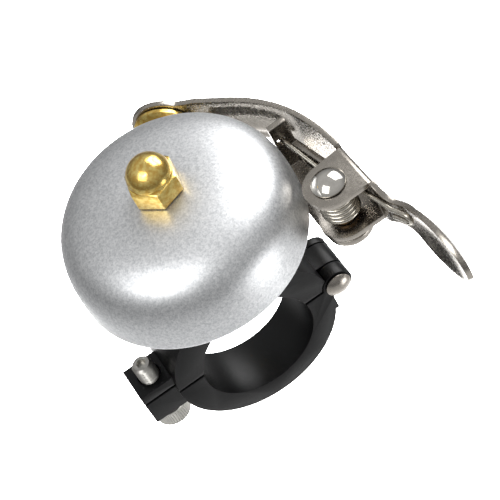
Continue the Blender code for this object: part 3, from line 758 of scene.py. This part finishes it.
lever_low, lever_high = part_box("striker_lever")
pivot = (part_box("pivot_rivet")[0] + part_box("pivot_rivet")[1]) / 2
mid_z = (lever_low.z + lever_high.z) / 2


def walk(runs, way):
    """(distance, x, y, heading) along the strip's outer face, from the clevis to one end."""
    distance = 0.0
    x, y = WEB_START
    places = []
    for length, start, end, steps in runs:
        stride = way * length / steps
        for step in range(steps):
            middle = start + (end - start) * (step + 0.5) / steps
            distance += stride
            x += stride * math.sin(middle)
            y -= stride * math.cos(middle)
            places.append((distance, x, y, start + (end - start) * (step + 1) / steps))
    return places


to_striker = [
    (BOW_LENGTH, WEB_HEADING, BOW_HEADING, 16),
    (SWEEP_LENGTH, BOW_HEADING, ARM_HEADING, 26),
    (ARM_LENGTH, ARM_HEADING, ARM_HEADING, 8),
    (DISC_BEND_LENGTH, ARM_HEADING, STRIKER_HEADING, 4),
    (DISC_RADIUS, STRIKER_HEADING, STRIKER_HEADING, 8),
]
to_tip = [
    (WEB_LENGTH, WEB_HEADING, WEB_HEADING, 20),
    (NECK_LENGTH, WEB_HEADING, NECK_HEADING, 10),
    (PADDLE_LENGTH, NECK_HEADING, TIP_HEADING, 36),
]
path = walk(to_striker, -1)[::-1] + [(0, *WEB_START, WEB_HEADING)] + walk(to_tip, 1)
disc_place = path[0]
path = [(place[0] - disc_place[0] + DISC_RADIUS, *place[1:]) for place in path]
whole = path[-1][0]
clevis_start = whole - PADDLE_LENGTH - NECK_LENGTH - WEB_LENGTH


def eased(start, end, share):
    share = min(max(share, 0), 1)
    return start + (end - start) * share * share * (3 - 2 * share)


def half_height(distance):
    """Half the strip's height: full along the arm, cut back at the clevis, thin at the neck."""
    to_end = whole - distance
    into_neck = (PADDLE_LENGTH + NECK_LENGTH - to_end) / NECK_LENGTH
    height = eased(ARM_HALF_HEIGHT, NECK_HALF_HEIGHT, into_neck)
    height = eased(height, PADDLE_HALF_HEIGHT, (PADDLE_LENGTH - to_end) / PADDLE_FLARE)
    past = max(1 - to_end / PADDLE_TIP, 0)
    height *= math.sqrt(max(1 - past * past, 0.03))
    if clevis_start < distance < clevis_start + WEB_LENGTH:
        height -= CLEVIS_INSET
    return height


def pressed(distance, up):
    """How far the press pushed the strip towards the bell, at a height above its middle."""
    along = (distance - RIB_START) / (RIB_END - RIB_START)
    rib = 0.0
    if 0 < along < 1:
        width = RIB_HALF_HEIGHT * min(1, 2.2 * math.sin(math.pi * along))
        rib = RIB_DEPTH * eased(1, 0, (abs(up) - width + RIB_WALL) / RIB_WALL)
    dish = DISH_DEPTH * (up / PADDLE_HALF_HEIGHT) ** 2
    return rib + eased(0, dish, (distance - whole + PADDLE_LENGTH - MM) / DISH_RUN_IN)


def sheet(name, columns, rows, place):
    """A sheet of metal without thickness: a grid whose points lie where place(column, row) says."""
    bpy.ops.mesh.primitive_grid_add(x_subdivisions=columns - 1, y_subdivisions=rows - 1, size=1)
    made = bpy.context.object
    made.name = name
    for number, vertex in enumerate(made.data.vertices):
        vertex.co = place(number % columns, number // columns)
    return made


def thicken(piece, thickness):
    """Gives a sheet its thickness on the side its normals point away from."""
    wall = piece.modifiers.new("wall", "SOLIDIFY")
    wall.thickness = thickness
    wall.offset = -1
    apply_modifiers(piece)
    edit(piece)
    bpy.ops.mesh.select_all(action="SELECT")
    bpy.ops.mesh.normals_make_consistent(inside=False)
    close_edit()


def on_strip(column, row):
    distance, x, y, heading = path[column]
    up = half_height(distance) * (1 - 2 * row / (ROWS - 1))
    inward = pressed(distance, up)
    return (x - inward * math.cos(heading), y - inward * math.sin(heading), mid_z + up)


thumb_lever = sheet("thumb_lever", len(path), ROWS, on_strip)
thicken(thumb_lever, STRIP)
break_edges(thumb_lever, STRIP_EDGE, segments=2, above=60)

# The clevis starts as a channel along the web, whose two folds turn into the ears.
fold = [(pivot.x - EAR_RADIUS - MM, ARM_HALF_HEIGHT)]
for step in range(FOLD_STEPS + 1):
    around = math.pi / 2 * step / FOLD_STEPS
    out = WEB_START[0] - FOLD_RADIUS * (1 - math.sin(around))
    fold.append((out, ARM_HALF_HEIGHT - FOLD_RADIUS * (1 - math.cos(around))))
fold += [(x, -up) for x, up in fold[::-1]]


def on_channel(column, row):
    x, up = fold[row]
    along = WEB_LENGTH * column
    lean = math.tan(WEB_HEADING) * along if row not in (0, len(fold) - 1) else 0
    return (x + lean - 0.04 * MM, WEB_START[1] - along, mid_z + up)


clevis = sheet("clevis", 2, len(fold), on_channel)
thicken(clevis, STRIP)
bpy.ops.mesh.primitive_cylinder_add(
    vertices=96,
    radius=EAR_RADIUS,
    depth=4 * ARM_HALF_HEIGHT,
    location=(pivot.x, pivot.y, mid_z),
)
ear_outline = bpy.context.object
edit(ear_outline)
close_edit()
for vertex in ear_outline.data.vertices:
    vertex.select = vertex.co.x > 0
bpy.ops.object.mode_set(mode="EDIT")
bpy.ops.transform.resize(value=(0, 1.2, 1), center_override=(pivot.x + 9 * MM, pivot.y, mid_z))
close_edit()
cut_with(clevis, ear_outline, "INTERSECT")
break_edges(clevis, EAR_EDGE, segments=3, above=50)
cut_with(thumb_lever, clevis, "UNION")

_, disc_x, disc_y, disc_heading = disc_place
bpy.ops.mesh.primitive_cylinder_add(vertices=96, radius=DISC_RADIUS, depth=STRIP + 0.06 * MM)
disc = bpy.context.object
break_edges(disc, STRIP_EDGE, segments=2)
to_bell = Matrix.Rotation(disc_heading + math.pi, 4, "Z") @ Matrix.Rotation(math.pi / 2, 4, "Y")
disc_frame = Matrix.Translation((disc_x, disc_y, mid_z)) @ to_bell
disc.matrix_world = disc_frame @ Matrix.Translation((0, 0, STRIP / 2))
cut_with(thumb_lever, disc, "UNION")
bpy.ops.mesh.primitive_cylinder_add(
    vertices=48,
    radius=PIVOT_HOLE_RADIUS,
    depth=4 * ARM_HALF_HEIGHT,
    location=(pivot.x, pivot.y, mid_z),
)
cut_with(thumb_lever, bpy.context.object)
bpy.ops.mesh.primitive_cylinder_add(vertices=48, radius=STUD_HOLE_RADIUS, depth=4 * STRIP)
stud_hole = bpy.context.object
stud_hole.matrix_world = disc_frame
cut_with(thumb_lever, stud_hole)
shade(thumb_lever, nickel)
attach(thumb_lever, "lever")
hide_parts("striker_lever")

# ---- Striker ----
# A polished brass button riveted through the lever's round end. Its convex face meets the bell,
# and its peened tail shows outside.

STRIKER_RADIUS = 5.6 * MM
STRIKER_HEIGHT = 2.2 * MM
STRIKER_FACE = 0.8 * MM
STRIKER_EDGE = 0.15 * MM
STUD_RADIUS = 1.2 * MM
PEEN_RADIUS = 2.1 * MM

striker_back = STRIP + PLAY
striker_outline = dome(
    STRIKER_RADIUS, striker_back + STRIKER_FACE, STRIKER_HEIGHT - STRIKER_FACE, steps=20
)
striker_outline += [(STRIKER_RADIUS, striker_back + STRIKER_EDGE)]
striker_outline += [(STRIKER_RADIUS - STRIKER_EDGE, striker_back), (STUD_RADIUS, striker_back)]
striker_outline += [(STUD_RADIUS, -PLAY), (PEEN_RADIUS, -PLAY)]
striker_outline += [(1.9 * MM, -0.6 * MM), (1.2 * MM, -0.85 * MM), (0.4 * MM, -0.9 * MM)]
brass_hammer = turned("brass_hammer", striker_outline)
brass_hammer.matrix_world = disc_frame
shade(brass_hammer, brass)
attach(brass_hammer, "lever")
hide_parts("striker_button")

# ---- Pivot ----
# A domed steel rivet, nickelled and buffed bright, through the clevis and the bracket's lobe. On
# it are a sintered bronze sleeve inside the spring and a nylon shim under the lower ear.

RIVET_HEAD_RADIUS = 3.0 * MM
RIVET_HEAD_HEIGHT = 1.8 * MM
RIVET_HEAD_LAND = 0.2 * MM
RIVET_RADIUS = 1.5 * MM
RIVET_TAIL_RADIUS = 2.4 * MM
RIVET_TAIL_HEIGHT = 0.7 * MM

rivet_low, rivet_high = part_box("pivot_rivet")
rivet_seat = rivet_high.z - RIVET_HEAD_HEIGHT
rivet_foot = rivet_low.z + RIVET_TAIL_HEIGHT
rivet_outline = dome(
    RIVET_HEAD_RADIUS, rivet_seat + RIVET_HEAD_LAND, RIVET_HEAD_HEIGHT - RIVET_HEAD_LAND, steps=20
)
rivet_outline += [(RIVET_HEAD_RADIUS, rivet_seat), (RIVET_RADIUS, rivet_seat), (RIVET_RADIUS, rivet_foot)]
rivet_outline += [(RIVET_TAIL_RADIUS, rivet_foot)]
rivet_outline += [(2.2 * MM, rivet_low.z + 0.25 * MM), (1.7 * MM, rivet_low.z)]
domed_rivet = turned("domed_rivet", rivet_outline, (pivot.x, pivot.y))

# Buffed nickel: the same plate as the stampings, but smooth enough to mirror the lamps.
buffed, buffed_shader, buffed_place = new_material("buffed_nickel_plate", 1.0, 0.1)
buffed_haze = add_node(
    buffed, "ShaderNodeTexNoise", {"Vector": buffed_place, "Scale": 1 / (1.1 * MM), "Detail": 3.0}
)
buffed_tone = add_node(
    buffed,
    "ShaderNodeMix",
    {0: buffed_haze.outputs["Fac"], 6: linear("C2BEB6"), 7: linear("DEDBD5")},
    data_type="RGBA",
)
link(buffed, buffed_tone.outputs[2], buffed_shader, "Base Color")
buffed_rough = add_node(
    buffed, "ShaderNodeMapRange", {"Value": buffed_haze.outputs["Fac"], "To Min": 0.06, "To Max": 0.16}
)
link(buffed, buffed_rough.outputs["Result"], buffed_shader, "Roughness")

shade(domed_rivet, buffed)
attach(domed_rivet, "base")
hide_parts("pivot_rivet")

# Sintered bronze: dull brown metal full of fine oiled pores, so that it barely shines.
bronze, bronze_shader, bronze_place = new_material("sintered_bronze", 1.0, 0.5)
bronze_pores = add_node(
    bronze, "ShaderNodeTexNoise", {"Vector": bronze_place, "Scale": 1 / (0.2 * MM), "Detail": 3.0}
)
bronze_tone = add_node(
    bronze,
    "ShaderNodeMix",
    {0: bronze_pores.outputs["Fac"], 6: linear("4E3C28"), 7: linear("7A6040")},
    data_type="RGBA",
)
link(bronze, bronze_tone.outputs[2], bronze_shader, "Base Color")

pivot_sleeve = ring_washer("pivot_bush", "pivot_sleeve", PIVOT_HOLE_RADIUS, 0.1 * MM)
shade(pivot_sleeve, bronze)
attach(pivot_sleeve, "base")
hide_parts("pivot_bush")

pivot_shim = ring_washer("pivot_washer", "pivot_shim", PIVOT_HOLE_RADIUS, 0.12 * MM)
shade(pivot_shim, nylon)
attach(pivot_shim, "base")
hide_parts("pivot_washer")

# ---- Return spring ----
# Bright drawn spring wire, 0.9 mm thick, wound five turns round the sleeve. One leg hooks through
# the bracket's tab and the other ends in a flat hairpin behind the lever's neck.

WIRE_RADIUS = 0.45 * MM
COIL_RADIUS = 3.0 * MM
COIL_TURNS = 5
COIL_PITCH = 1.0 * MM
COIL_STEPS = 40
COIL_TOP = 32.6 * MM
FOOT_Z = 30.8 * MM
FOOT_HALF_HEIGHT = 1.0 * MM
SPRING_HOLE = (22.4 * MM, 30.2 * MM)
TAB_FAR_Y = 5.9 * MM
HOOK_REACH = 0.6 * MM
WIRE_AIR = 0.25 * MM
HAIRPIN_LENGTH = 3.1
HAIRPIN_STEPS = (0, 0.8, 1.6, 2.4, HAIRPIN_LENGTH)  # mm past the neck


def behind_lever(past_neck, z):
    """Where the wire lies on the strip's inner face, at a distance past the end of the neck."""
    wanted = whole - PADDLE_LENGTH + past_neck
    after = next(number for number, sample in enumerate(path) if sample[0] > wanted)
    share = (wanted - path[after - 1][0]) / (path[after][0] - path[after - 1][0])
    x, y, heading = (a + (b - a) * share for a, b in zip(path[after - 1][1:], path[after][1:]))
    inset = STRIP + WIRE_RADIUS + WIRE_AIR
    return Vector((x - inset * math.cos(heading), y - inset * math.sin(heading), z))


def tangent_angle(place):
    """Angle on the coil where a straight wire from a place meets the side away from the bell."""
    across = Vector((place.x - pivot.x, place.y - pivot.y))
    towards = math.atan2(across.y, across.x)
    lean = math.acos(COIL_RADIUS / across.length)
    return towards - lean if towards > 0 else towards + lean


anchor = Vector((SPRING_HOLE[0], TAB_FAR_Y + HOOK_REACH, SPRING_HOLE[1]))
foot = [behind_lever(past * MM, FOOT_Z + FOOT_HALF_HEIGHT) for past in HAIRPIN_STEPS]
for step in range(1, 8):
    around = math.pi * step / 8
    past = HAIRPIN_LENGTH * MM + FOOT_HALF_HEIGHT * math.sin(around)
    foot.append(behind_lever(past, FOOT_Z + FOOT_HALF_HEIGHT * math.cos(around)))
foot += [behind_lever(past * MM, FOOT_Z - FOOT_HALF_HEIGHT) for past in HAIRPIN_STEPS[::-1]]
first = tangent_angle(anchor)
last = tangent_angle(foot[0]) - math.tau * COIL_TURNS
coil = []
for step in range(COIL_TURNS * COIL_STEPS + 1):
    share = step / (COIL_TURNS * COIL_STEPS)
    angle = first + (last - first) * share
    x = pivot.x + COIL_RADIUS * math.cos(angle)
    y = pivot.y + COIL_RADIUS * math.sin(angle)
    coil.append(Vector((x, y, COIL_TOP - COIL_PITCH * COIL_TURNS * (1 - share))))
wire = bpy.data.curves.new("torsion_spring", "CURVE")
wire.dimensions = "3D"
wire.bevel_depth = WIRE_RADIUS
wire.bevel_resolution = 5
wire.use_fill_caps = True
route = [anchor, *coil, *foot]
run = wire.splines.new("POLY")
run.points.add(len(route) - 1)
for point, place in zip(run.points, route):
    point.co = (*place, 1)
torsion_spring = bpy.data.objects.new("torsion_spring", wire)
bpy.context.scene.collection.objects.link(torsion_spring)
bpy.ops.object.select_all(action="DESELECT")
torsion_spring.select_set(True)
bpy.context.view_layer.objects.active = torsion_spring
bpy.ops.object.convert(target="MESH")
torsion_spring = bpy.context.object
edit(torsion_spring)
bpy.ops.mesh.select_all(action="SELECT")
bpy.ops.mesh.remove_doubles(threshold=MERGE)
close_edit()

# Spring wire: bright grey steel, drawn through a die, with a faint mottle under its film of oil.
spring_wire, wire_shader, wire_place = new_material("drawn_spring_wire", 1.0, 0.24)
wire_mottle = add_node(
    spring_wire, "ShaderNodeTexNoise", {"Vector": wire_place, "Scale": 1 / (0.5 * MM), "Detail": 4.0}
)
wire_tone = add_node(
    spring_wire,
    "ShaderNodeMix",
    {0: wire_mottle.outputs["Fac"], 6: linear("9B958A"), 7: linear("CBC6BB")},
    data_type="RGBA",
)
link(spring_wire, wire_tone.outputs[2], wire_shader, "Base Color")
wire_rough = add_node(
    spring_wire, "ShaderNodeMapRange", {"Value": wire_mottle.outputs["Fac"], "To Min": 0.16, "To Max": 0.34}
)
link(spring_wire, wire_rough.outputs["Result"], wire_shader, "Roughness")

shade(torsion_spring, spring_wire, math.radians(60))
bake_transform(torsion_spring)
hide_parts("return_spring")

# ---- Studio ----
# A white sweep a metre below the bell, which hangs free as it would on its handlebar, a surround
# that is brighter above, three soft lamps that give the dome its broad bands of light, and a
# fourth that lights the sweep behind.

FLOOR_SIDE = 6
FLOOR_DROP = 1000 * MM

bpy.ops.mesh.primitive_plane_add(size=FLOOR_SIDE, location=(0, 0, cad_box[0].z - FLOOR_DROP))
floor = bpy.context.object
floor.name = "floor"
paper, paper_shader, paper_place = new_material("white_paper", 0.0, 0.9)
paper_fibre = add_node(
    paper, "ShaderNodeTexNoise", {"Vector": paper_place, "Scale": 1 / (3 * MM), "Detail": 2.0}
)
paper_tone = add_node(
    paper,
    "ShaderNodeMix",
    {0: paper_fibre.outputs["Fac"], 6: linear("F9F9F9"), 7: linear("FCFCFC")},
    data_type="RGBA",
)
link(paper, paper_tone.outputs[2], paper_shader, "Base Color")
floor.data.materials.append(paper)

world = bpy.data.worlds.new("surround")
bpy.context.scene.world = world
world.use_nodes = True
sky_way = add_node(world, "ShaderNodeTexCoord", {})
sky_height = add_node(world, "ShaderNodeSeparateXYZ", {0: sky_way.outputs["Generated"]})
sky_light = add_node(
    world,
    "ShaderNodeMapRange",
    {"Value": sky_height.outputs["Z"], "From Min": -0.1, "From Max": 0.6, "To Min": 0.22, "To Max": 0.55},
)
link(world, sky_light.outputs["Result"], world.node_tree.nodes["Background"], "Strength")
world.node_tree.nodes["Background"].inputs["Color"].default_value = (1, 1, 1, 1)
bpy.context.scene.view_settings.view_transform = "Standard"


def lamp(name, place, target, size, power, spread=180):
    """A square soft box at a place, facing a target, whose light spreads by an angle in degrees."""
    light = bpy.data.lights.new(name, "AREA")
    light.size = size
    light.energy = power
    light.spread = math.radians(spread)
    made = bpy.data.objects.new(name, light)
    bpy.context.scene.collection.objects.link(made)
    made.location = place
    made.rotation_euler = (Vector(place) - Vector(target)).to_track_quat("Z", "Y").to_euler()


bell_middle = (0, 0, 30 * MM)
sweep_middle = (0.07, 0.8, cad_box[0].z - FLOOR_DROP)
lamp("back_right", (0.42, 0.19, 0.36), bell_middle, 0.46, 3.6)
lamp("front_left", (-0.29, -0.2, 0.48), bell_middle, 0.36, 1.9)
lamp("front_right_low", (0.31, -0.43, -0.24), bell_middle, 0.24, 0.8)
lamp("sweep_wash", (0.1, 1.6, -0.5), sweep_middle, 0.6, 26, spread=80)

# ---- Camera ----
# A long lens about 0.4 m away, which looks down on the bell from its near side. The
# camera is rolled, so that the handlebar's axis leans.

VIEW_AZIMUTH = math.radians(-5.1)
VIEW_ELEVATION = math.radians(50.97)
VIEW_ROLL = math.radians(-30.79)
VIEW_OFFSET = Vector((1.02 * MM, 13.56 * MM, 393.0 * MM))
SENSOR = 36
LENS = 158.46

camera = bpy.data.objects.new("camera", bpy.data.cameras.new("camera"))
bpy.context.scene.collection.objects.link(camera)
camera.data.sensor_width = SENSOR
camera.data.lens = LENS
camera.data.clip_start = 10 * MM
camera.data.clip_end = 20
turning = Matrix.Rotation(VIEW_AZIMUTH, 4, "Z") @ Matrix.Rotation(math.pi / 2 - VIEW_ELEVATION, 4, "X")
turning = turning @ Matrix.Rotation(VIEW_ROLL, 4, "Z")
camera.matrix_world = turning @ Matrix.Translation(VIEW_OFFSET)
bpy.context.scene.camera = camera
